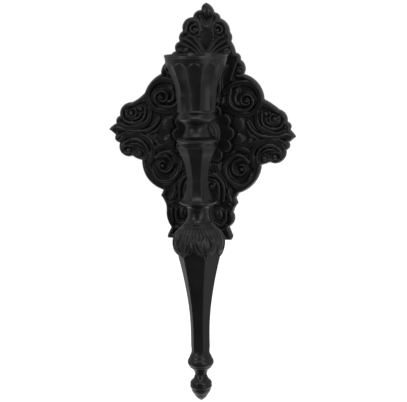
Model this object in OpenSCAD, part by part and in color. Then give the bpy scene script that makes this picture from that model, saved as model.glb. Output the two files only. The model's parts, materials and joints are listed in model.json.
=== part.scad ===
// Wall sconce for one taper candle: a cast rococo wall plate, and a torch held off its centre on a short arm.
// Millimetres. The wall is the plane y = 0, X is to the right, +Z is up, and the object faces -Y.
// The origin is on the wall, on the axis of the arm. Torch sections are stacked on one rod along the torch
// axis, and are drawn upright with the arm axis at z = 0, before the whole torch is turned about the arm.

/* [Wall plate] */
// Width across the two side tips
plate_w = 230; // [215:1:245]
// Thickness from the wall to the flat ground of the plate
plate_t = 9; // [8.5:0.5:12]
// Depth of the hollow back
hollow_d = 5.5; // [4:0.5:5.5]
// Height of the scrolls above the ground
relief_h = 5; // [3:0.5:7]

/* [Arm] */
// Distance of the torch axis from the wall
torch_off = 60; // [58:1:80]
// Radius of the arm between its two ends
arm_r = 8; // [7:0.5:10]
// Diameter of the arm bolt
bolt_d = 8; // [6:1:8]

/* [Torch] */
// Turn of the torch about the arm, its top towards -X
torch_turn = 2.5; // [0:0.5:6]
// Radius of the cup at its rim
cup_r = 37; // [34:0.5:39]
// Wall thickness of the cup
cup_wall = 3; // [2.5:0.5:4]
// Number of flutes round the cup
flutes = 12; // [8:1:16]
// Largest radius of the leaf bulb
bulb_r = 31; // [28:0.5:32]
// Number of pointed leaves on the bulb
leaves = 6; // [6:1:6]
// Diameter of the tie rod
rod_d = 6; // [5:1:6]

/* [Candle] */
// Bore of the candle socket, for a 22.2 mm taper
socket_bore = 22.4; // [20:0.2:24]
// Depth of the candle socket
socket_depth = 20; // [15:1:24]

/* [Hidden] */
$fn = 64;

// Black satin enamel, bright steel and lacquered brass
enamel = [0.07, 0.07, 0.075];
steel = [0.72, 0.72, 0.74];
brass = [0.72, 0.58, 0.30];

// Clearances: a part dropped over a rod, a bolt that turns in the arm, and a threaded hole
loose = 0.25;
running = 0.06;
thread_gap = 0.05;

// Heights of the joints between the torch sections, from the arm axis
z_rim = 97.6;
z_cup_floor = 42;
z_cup = 33.7;
z_collar = 20;
z_spool = -9.8;
z_baluster = -83.6;
z_neck = -102;
z_seat = -128;
z_shaft_top = -141;
z_shaft = -266;
z_ring = -275.9;
z_tip = -318.5;

// Seats along the arm, as distances from the wall
seat_plate = 15.5;
seat_torch = 35.3;
head_depth = 8.6;
bolt_tip = torch_off - rod_d / 2 - 3;

// The drip pan rests on the taper of the cup here
z_pan = 74;
pan_r = 27.6;
plate_base = -131.5;

// Circular arc from p to q, its last point left out: bulge is its height as a share of the chord, to the left
function arc(p, q, bulge, steps) = abs(bulge) < 0.001 ? [p] :
    let (
        chord = q - p,
        len_pq = norm(chord),
        left = [-chord[1], chord[0]] / len_pq,
        rise = bulge * len_pq,
        rad = (len_pq * len_pq / 4 + rise * rise) / (2 * rise),
        mid = (p + q) / 2 + left * (rise - rad),
        start = atan2(p[1] - mid[1], p[0] - mid[0]),
        sweep = 4 * atan(2 * bulge)
    )
    [for (a = [for (i = [0 : steps - 1]) start - sweep * i / steps]) mid + abs(rad) * [cos(a), sin(a)]];

// Outline through points [x, y, bulge of the stretch that follows]
function outline(pts, steps = 5) = [
    for (i = [0 : len(pts) - 2])
        each arc([pts[i][0], pts[i][1]], [pts[i + 1][0], pts[i + 1][1]], pts[i][2], steps),
    [pts[len(pts) - 1][0], pts[len(pts) - 1][1]]
];

// Closed outline of a right half and of a left half that is drawn as if on the right
function both_halves(right, left) = concat(
    right,
    [for (i = [len(left) - 1 : -1 : 1]) if (left[i][0] > 0.01) [-left[i][0], left[i][1]]]
);

// Two halves of the plate's edge, down from the crest: every bulge is one lobe. A carver's pattern isn't
// quite even, so the left half, drawn as if on the right, reaches a little further out.
right_edge = [
    [-2, 157, 0.12], [8, 146, 0.19], [15.5, 139, 0.16], [27.5, 123, 0.15], [29.5, 112, 0.06],
    [35.5, 98.5, 0.24], [41.5, 90.5, 0.2], [46.5, 73.5, 0.16], [72, 44, 0.03], [90.5, 32.5, 0.19],
    [101, 18, 0.26], [105, 8.5, 0.03], [112, 0.5, 0.02], [104, -7, 0.26], [101, -16.5, 0.31],
    [82, -32, 0.02], [71.5, -36, 0.16], [45.5, -71.5, 0], [42, -78, 0], [44.5, -84, -0.05],
    [39, -96, 0.22], [34.5, -114, 0], [39.5, -125.5, 0], [38, plate_base + 1.5, 0]
];
left_edge = [
    [2, 157, 0.2], [7.5, 148.5, 0.19], [17.5, 139.5, 0.26], [29.5, 122.5, 0.2], [33, 110, 0.25],
    [37.5, 98, 0.25], [42.5, 88.5, 0.17], [55, 70, 0.1], [74, 47, -0.06], [90.5, 34, 0.24],
    [104.5, 17, 0.25], [108.5, 8, 0.05], [118, 0, 0], [109.5, -6.5, 0.29], [104, -16, 0.33],
    [87.5, -32, 0.07], [76, -36.5, 0.17], [48.5, -72, 0], [51.5, -79, -0.1], [44, -95.5, 0.1],
    [37.5, -117.5, 0], [41.5, -126.5, 0], [42, plate_base, 0]
];

// Right half of the hollow in its back
half_hollow = [
    [0, 124], [12, 124], [25, 114], [26, 96], [36, 84], [40, 72], [62, 54], [66, 38], [95, 16], [98, -2],
    [94, -18], [88, -26], [66, -30], [62, -48], [50, -62], [37, -76], [34, -96], [34, -110], [30, -114],
    [0, -114]
];

// Large scrolls of the right half: [x, z, outer radius]
scrolls = [
    [45, 40, 17], [82, 21, 15], [81, -22, 16], [46, -38, 14], [15, -66, 13], [26, -99, 9], [13, 123, 7],
    [26, 99, 6]
];

// Section outlines, [radius, height, bulge of the stretch that follows], down from the top of each section
cup_side = [
    [cup_r, z_rim, 0], [cup_r, 94.2, 0], [cup_r - 1, 88.7, 0.02], [28.5, 71, -0.05], [23.6, 50, -0.02],
    [22.8, z_cup, 0]
];
collar_side = [
    [22.8, z_cup, 0], [22.8, 30.4, 0], [21.8, 29.2, 0], [22, 27.2, 0], [23.4, 24.6, 0.2], [21.6, z_collar, 0]
];
spool_side = [
    [20.6, z_collar, 0], [15.2, z_collar - 3, -0.05], [14.2, 11.6, -0.05], [19.2, 1.5, 0], [24.5, -1, 0],
    [24.5, -3.8, 0], [22.9, -4.8, 0], [22.7, z_spool, 0]
];
baluster_side = [
    [22.2, z_spool, 0.03], [18.4, -20, -0.04], [12.8, -42, -0.06], [12.6, -52, -0.06], [15.4, -66, -0.03],
    [18.8, -72.5, 0], [18.8, -74, 0]
];
base_side = [
    [18.6, -72.5, 0], [21.5, -74.4, 0.3], [21.5, -77.6, 0], [17.8, -78.6, 0], [17.8, -80, -0.2],
    [13, z_baluster, 0]
];
neck_side = [
    [13, z_baluster, -0.05], [12.5, -91.4, -0.05], [13.6, -96.1, -0.05], [17.2, -100.6, 0], [17.2, z_neck, 0]
];
bulb_side = [
    [18.6, z_neck, 0.25], [20.4, -105.2, 0.05], [bulb_r, -122, 0], [bulb_r, -129, 0], [29, -134.5, 0],
    [26, z_shaft_top, 0]
];
shaft_side = [
    [22.3, z_shaft_top, 0], [20, -152, 0], [15.8, -176, -0.02], [11.5, -208, -0.03], [10.1, -240, 0],
    [10.2, -254, -0.1], [12.8, z_shaft, 0]
];
ring_side = [[14.4, z_shaft, 0.1], [15.8, -269, 0.2], [15.6, -272, 0.1], [14, z_ring, 0]];
finial_side = [
    [13.4, z_ring, 0], [10.4, -279.4, -0.1], [7.6, -284.6, -0.2], [7.7, -287.6, -0.1], [11.6, -294.2, 0.15],
    [12.9, -299, 0.15], [12.2, -304, 0.08], [8.4, -311, 0.05], [0, z_tip, 0]
];

// Solid of revolution between an outline and the axis
module turned(side) {
    pts = outline(side, 4);
    low = pts[len(pts) - 1][1];
    cap = pts[len(pts) - 1][0] > 0 ? [[0, low]] : [];
    rotate_extrude() polygon(concat([[0, pts[0][1]]], pts, cap));
}

// Prism whose flats follow an outline: the common part of its silhouettes, one for each pair of flats
module faceted_column(side, count) {
    pts = outline(side, 3);
    intersection_for (i = [0 : count / 2 - 1])
        rotate([90, 0, i * 360 / count])
            linear_extrude(120, center = true)
                polygon(concat(pts, [for (j = [len(pts) - 1 : -1 : 0]) [-pts[j][0], pts[j][1]]]));
}

// Cylinder along the arm, between two distances from the wall
module along_arm(r, from, to) {
    translate([0, -from, 0]) rotate([90, 0, 0]) cylinder(r = r, h = to - from);
}

// Plate of an outline drawn in X and Z, between two distances from the wall
module upright_plate(from, to) {
    translate([0, -from, 0]) rotate([90, 0, 0]) linear_extrude(to - from) children();
}

// Moves a section from the torch axis to its place in front of the wall
module torch_place() {
    rotate([0, -torch_turn, 0]) translate([0, -torch_off, 0]) children();
}

module rod_hole(low, high, r = rod_d / 2 + loose) {
    translate([0, 0, low]) cylinder(r = r, h = high - low);
}

module both_sides() {
    children();
    mirror([1, 0, 0]) children();
}

// One scroll: a ring round a raised eye
module scroll(r) {
    difference() {
        along_arm(r, plate_t - 1, plate_t + relief_h - 1);
        along_arm(r - 3.5, plate_t - 2, plate_t + relief_h);
    }
    along_arm(r * 0.34, plate_t - 1, plate_t + relief_h);
}

// Stepped rosette that the arm stands on
module rosette() {
    along_arm(32, plate_t - 1, plate_t + 2);
    along_arm(21, plate_t, plate_t + 4);
    along_arm(17.5, plate_t + 1, seat_plate);
}

// One casting: lobed plate, scrolls and rosette in front, a hollow and a boss for the arm bolt behind
module backplate() color(enamel) difference() {
    union() {
        upright_plate(0, plate_t) scale(plate_w / 230)
            polygon(both_halves(outline(right_edge), outline(left_edge)));
        both_sides() for (s = scrolls) translate([s[0], 0, s[1]]) scroll(s[2]);
        rosette();
    }
    difference() {
        upright_plate(-1, hollow_d) scale(plate_w / 230)
            polygon(both_halves(half_hollow, half_hollow));
        along_arm(17, -2, hollow_d + 1);
        both_sides() translate([19, 0, 106]) along_arm(5, 1.6, hollow_d + 1);
    }
    along_arm(9.5, -1, head_depth);
    along_arm(bolt_d / 2 + 0.5, -1, seat_plate + 1);
    both_sides() translate([19, 0, 106]) along_arm(1.3, 1, hollow_d + 2.5);
}

// Strip across the hollow back, with the keyhole that hangs the sconce on a screw head
module hanger_strip() color(steel) difference() {
    translate([-24.5, -1.6, 96.5]) cube([49, 1.6, 16]);
    translate([0, 0, 103.5]) along_arm(4.5, -1, 3);
    translate([-2, -3, 103.5]) cube([4, 4, 6.5]);
    both_sides() translate([19, 0, 106]) along_arm(1.7, -1, 3);
    both_sides() translate([19, 0, 106]) along_arm(3.2, -1, 1);
}

module hanger_screws() color(steel) both_sides() translate([19, 0, 106]) difference() {
    union() {
        along_arm(1.25, 0.5, 7);
        along_arm(2.9, 0.1, 0.98);
    }
    translate([-4, -0.5, -0.4]) cube([8, 1, 0.8]);
}

// Turned arm: a flange and two rings against the plate, then a plain barrel to the torch
module arm_sleeve() color(enamel) difference() {
    union() {
        along_arm(arm_r, seat_plate + 1, seat_torch);
        along_arm(14.6, seat_plate, seat_plate + 2.4);
        along_arm(12, seat_plate + 1, seat_plate + 4.6);
        along_arm(9.4, seat_plate + 2, seat_plate + 6.2);
    }
    along_arm(bolt_d / 2 + running, seat_plate - 1, seat_torch + 1);
}

// Hexagon-head bolt from the hollow back, through the arm, into the neck of the torch
module arm_bolt() color(steel) rotate([0, -torch_turn, 0]) {
    translate([0, -0.6, 0]) rotate([90, 0, 0]) cylinder(r = bolt_d * 0.94, h = 5.3, $fn = 6);
    along_arm(bolt_d / 2, 4, bolt_tip);
}

module lock_washer() color(steel) rotate([0, -torch_turn, 0]) difference() {
    along_arm(7.4, 5.95, 7.4);
    along_arm(bolt_d / 2 + 0.2, 5, 8);
    translate([0, -9, 0]) rotate([0, 20, 0]) cube([12, 4, 1.4]);
}

module arm_washer() color(steel) difference() {
    along_arm(8.4, 7.45, head_depth - 0.05);
    along_arm(bolt_d / 2 + running, 7, head_depth + 1);
}

// Flared cup with a hollow that tapers to its floor, and a flute in each panel
module fluted_cup() color(enamel) torch_place() difference() {
    turned(cup_side);
    rotate_extrude() polygon([
        [0, z_cup_floor], [16.5, z_cup_floor], [18.6, 50], [21.4, 62], [cup_r - 12.6, 71], [cup_r - 8.2, 80],
        [cup_r - cup_wall - 1, 90], [cup_r - cup_wall, z_rim + 1], [0, z_rim + 1]
    ]);
    for (i = [0 : flutes - 1]) rotate([0, 0, -90 + i * 360 / flutes])
        translate([27.3, 0, z_cup]) rotate([0, 3.2, 0]) translate([0, 0, -5]) cylinder(r = 5.2, h = 34);
    rod_hole(z_cup - 1, z_cup_floor + 1);
}

module collar_ring() color(enamel) torch_place() difference() {
    turned(collar_side);
    rod_hole(z_collar - 1, z_cup + 1);
}

// Neck with its thin disc: a boss at the back takes the arm and its bolt
module neck_spool() color(enamel) difference() {
    union() {
        torch_place() rotate([0, 0, 37]) turned(spool_side);
        along_arm(arm_r + 1, seat_torch, torch_off - 7);
    }
    torch_place() rod_hole(z_spool - 1, z_collar + 1);
    along_arm(bolt_d / 2 + thread_gap, seat_torch - 1, bolt_tip + 0.6);
}

// Eight-sided baluster, its arrises dying into a turned base ring
module baluster() color(enamel) torch_place() difference() {
    union() {
        rotate([0, 0, 2.5]) faceted_column(baluster_side, 8);
        turned(base_side);
    }
    rod_hole(z_baluster - 1, z_spool + 1);
}

module lower_neck() color(enamel) torch_place() difference() {
    turned(neck_side);
    rod_hole(z_neck - 1, z_baluster + 1);
}

// Bulb whose skirt ends in pointed leaves over the corners of the shaft
module leaf_bulb() color(enamel) torch_place() difference() {
    turned(bulb_side);
    rod_hole(z_seat - 1, z_neck + 1);
    translate([0, 0, z_shaft_top - 1]) cylinder(r = 23.4, h = z_seat - z_shaft_top + 1);
    for (i = [0 : leaves - 1]) rotate([0, 0, -61.5 + (i + 0.5) * 360 / leaves])
        translate([19, 0, z_shaft_top - 4]) rotate([0, 90, 0]) cylinder(r = 13, h = 20, $fn = 4);
}

// Long six-sided taper, with a round spigot up inside the leaves
module hex_shaft() color(enamel) torch_place() difference() {
    union() {
        rotate([0, 0, -31.5]) faceted_column(shaft_side, 6);
        translate([0, 0, z_shaft_top - 5]) cylinder(r = 18, h = z_seat - z_shaft_top + 5);
    }
    rod_hole(z_shaft - 1, z_seat + 1);
}

module finial_collar() color(enamel) torch_place() difference() {
    turned(ring_side);
    rod_hole(z_ring - 1, z_shaft + 1);
}

module finial() color(enamel) torch_place() difference() {
    turned(finial_side);
    rod_hole(-294, z_ring + 1, rod_d / 2 + thread_gap);
}

module tie_rod() color(steel) torch_place() rod_hole(-293, z_cup_floor + 9, rod_d / 2);

module rod_washer() color(steel) torch_place() difference() {
    translate([0, 0, z_cup_floor + 0.05]) cylinder(r = 8.5, h = 1.6);
    rod_hole(z_cup_floor - 1, z_cup_floor + 3);
}

module rod_nut() color(steel) torch_place() difference() {
    translate([0, 0, z_cup_floor + 1.7]) cylinder(r = 5.77, h = 5, $fn = 6);
    rod_hole(z_cup_floor, z_cup_floor + 9, rod_d / 2 + thread_gap);
}

// Dish that rests on the taper of the cup and catches the wax
module drip_pan() color(brass) torch_place() difference() {
    rotate_extrude() polygon([
        [0, z_pan - 5], [19, z_pan - 5], [22, z_pan - 3], [pan_r - 2.6, z_pan + 3], [pan_r, z_pan + 6.4],
        [pan_r - 1.2, z_pan + 6.6], [pan_r - 3.7, z_pan + 3.6], [21.2, z_pan - 2], [18.6, z_pan - 3.8],
        [0, z_pan - 3.8]
    ]);
    rod_hole(z_pan - 6, z_pan - 3, 2.05);
}

module candle_socket() color(brass) torch_place() difference() {
    union() {
        translate([0, 0, z_pan - 3.75]) cylinder(r = socket_bore / 2 + 1, h = socket_depth + 1.2);
        translate([0, 0, z_pan - 3.75 + socket_depth]) cylinder(r = socket_bore / 2 + 2.2, h = 1.2);
    }
    rod_hole(z_pan - 2.55, z_pan + socket_depth, socket_bore / 2);
    rod_hole(z_pan - 6, z_pan - 2, 2.05);
    rod_hole(z_pan - 3.3, z_pan - 2, 3.5);
}

// Rivet whose upper head lies sunk in the floor of the socket, so that the candle stands flat
module socket_rivet() color(brass) torch_place() {
    translate([0, 0, z_pan - 6.2]) cylinder(r = 3.4, h = 1.15);
    translate([0, 0, z_pan - 6]) cylinder(r = 2, h = 3);
    translate([0, 0, z_pan - 3.25]) cylinder(r = 3.4, h = 0.6);
}

backplate();
hanger_strip();
hanger_screws();
arm_sleeve();
arm_washer();
arm_bolt();
lock_washer();
fluted_cup();
collar_ring();
neck_spool();
baluster();
lower_neck();
leaf_bulb();
hex_shaft();
finial_collar();
finial();
tie_rod();
rod_washer();
rod_nut();
drip_pan();
candle_socket();
socket_rivet();
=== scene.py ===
"""Looks of a cast rococo wall sconce: a plate of scrolls and a torch for one taper candle.

Every size of the object is in millimetres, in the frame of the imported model: the wall is the plane y = 0,
+Z is up, and the arm's axis runs through the origin. Meshes are made in millimetres and brought to metres
when a piece is finished. The stage is in metres.
"""

import json
import logging
import math
from collections.abc import Callable, Iterable, Sequence
from dataclasses import dataclass, field
from enum import Enum

import bpy
import numpy as np
from mathutils import Matrix, Vector


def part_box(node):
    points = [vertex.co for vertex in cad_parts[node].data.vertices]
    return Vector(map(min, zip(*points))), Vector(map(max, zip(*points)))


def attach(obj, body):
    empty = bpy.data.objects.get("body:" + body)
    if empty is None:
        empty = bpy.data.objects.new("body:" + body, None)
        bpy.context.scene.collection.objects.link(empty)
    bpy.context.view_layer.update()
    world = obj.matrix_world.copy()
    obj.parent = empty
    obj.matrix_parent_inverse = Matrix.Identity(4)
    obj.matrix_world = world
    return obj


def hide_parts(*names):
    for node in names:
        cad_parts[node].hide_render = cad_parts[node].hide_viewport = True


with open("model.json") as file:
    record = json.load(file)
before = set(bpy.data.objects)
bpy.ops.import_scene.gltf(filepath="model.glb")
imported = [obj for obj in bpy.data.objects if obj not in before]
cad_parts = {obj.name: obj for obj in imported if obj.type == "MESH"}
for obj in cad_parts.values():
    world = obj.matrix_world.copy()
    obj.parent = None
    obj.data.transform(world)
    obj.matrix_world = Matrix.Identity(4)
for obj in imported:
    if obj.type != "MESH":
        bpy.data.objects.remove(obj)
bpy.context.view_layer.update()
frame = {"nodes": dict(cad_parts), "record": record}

MM = 0.001
LOG = logging.getLogger("sconce")

Point = tuple[float, float]
Array = np.ndarray


class Body(Enum):
    """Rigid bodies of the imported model."""

    PLATE = "wall_plate"
    TORCH = "torch"
    INSERT = "candle_insert"


class Slot(Enum):
    """Finishes that the record names."""

    ENAMEL = "black_enamel"
    STEEL = "zinc_steel"
    BRASS = "aged_brass"


class Section(Enum):
    """Cross sections that a raised strand can have."""

    ROUND = "round"
    COVE = "cove"


# ------------------------------------------------------------------------------------------ mesh tools


def deselect_all() -> None:
    """Leave nothing selected and no object active in edit mode."""
    if bpy.context.object and bpy.context.object.mode != "OBJECT":
        bpy.ops.object.mode_set(mode="OBJECT")
    bpy.ops.object.select_all(action="DESELECT")


def take_up(obj: bpy.types.Object) -> bpy.types.Object:
    """Select one object alone and make it active.

    Args:
        obj: the object to work on.

    Returns:
        The same object.
    """
    deselect_all()
    obj.select_set(True)
    bpy.context.view_layer.objects.active = obj
    return obj


def mesh_object(
    name: str, verts: Iterable, faces: Iterable = (), edges: Iterable = ()
) -> bpy.types.Object:
    """Make a mesh object from its points.

    Args:
        name: name of the object and its mesh.
        verts: points in millimetres.
        faces: faces as lists of point numbers.
        edges: edges as pairs of point numbers.

    Returns:
        The new object, selected alone.
    """
    mesh = bpy.data.meshes.new(name)
    mesh.from_pydata(list(verts), list(edges), list(faces))
    mesh.update()
    obj = bpy.data.objects.new(name, mesh)
    bpy.context.scene.collection.objects.link(obj)
    return take_up(obj)


def points_of(obj: bpy.types.Object) -> Array:
    """Return the object's points as rows of x, y and z."""
    flat = np.empty(len(obj.data.vertices) * 3)
    obj.data.vertices.foreach_get("co", flat)
    return flat.reshape(-1, 3)


def set_points(obj: bpy.types.Object, points: Array) -> None:
    """Write the object's points back."""
    obj.data.vertices.foreach_set("co", points.reshape(-1))
    obj.data.update()


def edit(obj: bpy.types.Object, *steps: Callable[[], object]) -> bpy.types.Object:
    """Run edit-mode steps on all of an object's elements.

    Args:
        obj: the object to edit.
        steps: operators to call, in order.

    Returns:
        The same object, back in object mode.
    """
    take_up(obj)
    bpy.ops.object.mode_set(mode="EDIT")
    bpy.ops.mesh.select_all(action="SELECT")
    for step in steps:
        step()
    bpy.ops.object.mode_set(mode="OBJECT")
    return obj


def apply_modifier(obj: bpy.types.Object, kind: str, **settings: object) -> None:
    """Add one modifier and apply it.

    Args:
        obj: the object to change.
        kind: type of the modifier.
        settings: its properties.
    """
    take_up(obj)
    modifier = obj.modifiers.new(kind.lower(), kind)
    for key, value in settings.items():
        setattr(modifier, key, value)
    bpy.ops.object.modifier_apply(modifier=modifier.name)


def arc(start: Point, end: Point, bulge: float, steps: int) -> list[Point]:
    """Points of a circular arc, the last one left out.

    Args:
        start: first point.
        end: last point.
        bulge: height of the arc over its chord, as a share of the chord, to the left of the way.
        steps: number of stretches.

    Returns:
        The arc's points from start on.
    """
    if abs(bulge) < 0.001:
        return [start]
    p, q = Vector(start), Vector(end)
    chord = q - p
    left = Vector((-chord.y, chord.x)) / chord.length
    rise = bulge * chord.length
    radius = (chord.length_squared / 4 + rise * rise) / (2 * rise)
    middle = (p + q) / 2 + left * (rise - radius)
    first = math.atan2(p.y - middle.y, p.x - middle.x)
    sweep = 4 * math.atan(2 * bulge)
    angles = [first - sweep * i / steps for i in range(steps)]
    return [(middle.x + abs(radius) * math.cos(a), middle.y + abs(radius) * math.sin(a)) for a in angles]


def outline(nodes: Sequence[tuple[float, float, float]], steps: int = 8) -> list[Point]:
    """Points of an outline of arcs.

    Args:
        nodes: x, y and the bulge of the stretch that follows.
        steps: number of stretches in each arc.

    Returns:
        The outline's points.
    """
    points: list[Point] = []
    for (x0, y0, bulge), (x1, y1, _) in zip(nodes, nodes[1:]):
        points += arc((x0, y0), (x1, y1), bulge, steps)
    return points + [nodes[-1][:2]]


def refined(points: Sequence[Point], longest: float) -> list[Point]:
    """Split long stretches of a polyline so that none is longer than a limit."""
    out = [tuple(points[0])]
    for (ax, ay), (bx, by) in zip(points, points[1:]):
        parts = max(1, math.ceil(math.dist((ax, ay), (bx, by)) / longest))
        out += [(ax + (bx - ax) * i / parts, ay + (by - ay) * i / parts) for i in range(1, parts + 1)]
    return out


def smooth_path(points: Sequence[Point], steps: int = 7) -> Array:
    """Catmull-Rom curve through points.

    Args:
        points: points that the curve passes.
        steps: number of stretches between two of them.

    Returns:
        Rows of x and y along the curve.
    """
    p = np.array(points, float)
    p = np.vstack([2 * p[0] - p[1], p, 2 * p[-1] - p[-2]])
    rows = []
    for i in range(1, len(p) - 2):
        a, b, c, d = p[i - 1], p[i], p[i + 1], p[i + 2]
        slope, bend, twist = c - a, 2 * a - 5 * b + 4 * c - d, 3 * b - a - 3 * c + d
        for t in np.linspace(0, 1, steps, endpoint=False):
            rows.append(0.5 * (2 * b + slope * t + bend * t**2 + twist * t**3))
    return np.array(rows + [p[-2]])


def lathe(name: str, profile: Sequence[Point], segments: int) -> bpy.types.Object:
    """Turn a profile round the Z axis into a closed solid.

    Args:
        name: name of the object.
        profile: radius and height of each point, from the axis or a loop that closes on itself.
        segments: number of steps round the axis.

    Returns:
        The turned object, its faces outwards.
    """
    verts = [(r, 0.0, z) for r, z in profile]
    edges = [(i, i + 1) for i in range(len(verts) - 1)]
    obj = mesh_object(name, verts, edges=edges)
    return edit(
        obj,
        lambda: bpy.ops.mesh.spin(steps=segments, angle=math.tau, center=(0, 0, 0), axis=(0, 0, 1)),
        lambda: bpy.ops.mesh.select_all(action="SELECT"),
        lambda: bpy.ops.mesh.remove_doubles(threshold=0.002),
        lambda: bpy.ops.mesh.normals_make_consistent(inside=False),
    )


def reshape(obj: bpy.types.Object, radius_at: Callable[[Array, Array, Array], Array]) -> None:
    """Move each point of a turned solid in or out from the Z axis.

    Args:
        obj: the turned solid.
        radius_at: gives new radii from angles in radians, radii and heights.
    """
    co = points_of(obj)
    angle, radius = np.arctan2(co[:, 1], co[:, 0]), np.hypot(co[:, 0], co[:, 1])
    new = radius_at(angle, radius, co[:, 2].copy())
    co[:, 0], co[:, 1] = new * np.cos(angle), new * np.sin(angle)
    set_points(obj, co)


def around(angle: Array, count: int, first_deg: float) -> Array:
    """Angle from the middle of the nearest of equal sectors.

    Args:
        angle: angles in radians.
        count: number of sectors round the circle.
        first_deg: middle of one of them, in degrees.

    Returns:
        Angles between minus and plus half a sector.
    """
    sector = math.tau / count
    return (angle - math.radians(first_deg) + sector / 2) % sector - sector / 2


def smoothstep(low: float, high: float, value: Array) -> Array:
    """Soft step from 0 at low to 1 at high."""
    t = np.clip((value - low) / (high - low), 0, 1)
    return t * t * (3 - 2 * t)


def many_sided(offset: Array, flat: Array, count: int, corner: float) -> Array:
    """Radius of a polygon with rounded corners.

    Args:
        offset: angle from the middle of the nearest flat.
        flat: distance of the flats from the axis.
        count: number of flats.
        corner: radius of the rounded corners.

    Returns:
        The polygon's radius at each angle.
    """
    half = math.pi / count
    on_flat = flat / np.cos(offset)
    centre = (flat - corner) / math.cos(half)
    to_corner = half - np.abs(offset)
    inside = np.maximum(corner**2 - (centre * np.sin(to_corner)) ** 2, 0)
    on_corner = centre * np.cos(to_corner) + np.sqrt(inside)
    at_corner = flat * np.tan(np.abs(offset)) > (flat - corner) * math.tan(half)
    return np.where(at_corner, on_corner, on_flat)


# -------------------------------------------------------------------------------------------- finishes


def srgb(code: str) -> tuple[float, float, float, float]:
    """Linear colour of an sRGB hex code such as 1a1b1c."""
    parts = [int(code[i : i + 2], 16) / 255 for i in (0, 2, 4)]
    linear = [c / 12.92 if c <= 0.04045 else ((c + 0.055) / 1.055) ** 2.4 for c in parts]
    return (*linear, 1.0)


def add_node(
    tree: bpy.types.NodeTree,
    kind: str,
    values: dict | None = None,
    links: dict | None = None,
    stops: Sequence[tuple[float, str | float]] = (),
    **settings: object,
) -> bpy.types.Node:
    """Add a shader node with its settings and links.

    Args:
        tree: node tree of the material or the world.
        kind: type of the node, without its ShaderNode prefix.
        values: values of its input sockets.
        links: output sockets that feed its input sockets.
        stops: a colour ramp's stops, each a place from 0 to 1 with a grey or a hex colour.
        settings: properties of the node.

    Returns:
        The new node.
    """
    node = tree.nodes.new("ShaderNode" + kind)
    for key, value in settings.items():
        setattr(node, key, value)
    for key, value in (values or {}).items():
        node.inputs[key].default_value = value
    for key, socket in (links or {}).items():
        tree.links.new(socket, node.inputs[key])
    if stops:
        elements = node.color_ramp.elements
        while len(elements) < len(stops):
            elements.new(0.5)
        for element, (place, colour) in zip(elements, stops):
            element.position = place
            element.color = srgb(colour) if isinstance(colour, str) else (colour, colour, colour, 1.0)
    return node


@dataclass(frozen=True)
class Finish:
    """What every finish has: a name, a hex colour and a roughness."""

    name: str
    colour: str
    roughness: float

    def start(self) -> tuple[bpy.types.Material, bpy.types.NodeTree, bpy.types.Node, bpy.types.NodeSocket]:
        """Make the material with its shader and object coordinates in metres."""
        material = bpy.data.materials.new(self.name)
        material.use_nodes = True
        tree = material.node_tree
        shader = tree.nodes["Principled BSDF"]
        place = add_node(tree, "TexCoord").outputs["Object"]
        return material, tree, shader, place


@dataclass(frozen=True)
class SatinBlackEnamel(Finish):
    """Black stoving enamel sprayed on cast aluminium: a satin film with a faint orange peel.

    The film varies a little in depth of black and in gloss. Its edges get a painted highlight: pointiness
    mixes them towards a lighter grey.

    Attributes:
        edge_highlight_colour: hex colour of the painted highlight on edges.
        peel_mm: width of the orange peel's dimples.
        cast_mm: width of the waves that the sand mould leaves under the film.
    """

    edge_highlight_colour: str = "3a3a3c"
    peel_mm: float = 1.6
    cast_mm: float = 7.0

    def build(self) -> bpy.types.Material:
        """Return the material."""
        material, tree, shader, place = self.start()
        noises = (
            {"Scale": 1 / (self.cast_mm * 3 * MM), "Detail": 4.0, "Roughness": 0.6},
            {"Scale": 1 / (self.peel_mm * MM), "Detail": 2.0, "Roughness": 0.5},
            {"Scale": 1 / (self.cast_mm * MM), "Detail": 2.0},
        )
        cloud, grain, lumps = (
            add_node(tree, "TexNoise", values, {"Vector": place}).outputs["Fac"] for values in noises
        )
        depth = ((0.30, "0a0a0b"), (0.72, self.colour))
        film = add_node(tree, "ValToRGB", links={"Fac": cloud}, stops=depth)
        # painted highlight: sharp edges are mixed towards a lighter grey to stand in for the light they catch
        edge = add_node(tree, "NewGeometry").outputs["Pointiness"]
        edge_highlight = add_node(tree, "ValToRGB", links={"Fac": edge}, stops=((0.505, 0.0), (0.58, 0.85)))
        highlighted_film = add_node(
            tree,
            "Mix",
            {7: srgb(self.edge_highlight_colour)},
            {0: edge_highlight.outputs["Color"], 6: film.outputs["Color"]},
            data_type="RGBA",
        )
        tree.links.new(highlighted_film.outputs[2], shader.inputs["Base Color"])
        sheen = ((0.25, self.roughness - 0.06), (0.75, self.roughness + 0.07))
        gloss = add_node(tree, "ValToRGB", links={"Fac": cloud}, stops=sheen)
        tree.links.new(gloss.outputs["Color"], shader.inputs["Roughness"])
        waves = add_node(tree, "Bump", {"Strength": 0.08, "Distance": 0.0006}, {"Height": lumps})
        peel = add_node(
            tree,
            "Bump",
            {"Strength": 0.06, "Distance": 0.0002},
            {"Height": grain, "Normal": waves.outputs["Normal"]},
        )
        tree.links.new(peel.outputs["Normal"], shader.inputs["Normal"])
        shader.inputs["IOR"].default_value = 1.5
        return material


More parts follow.
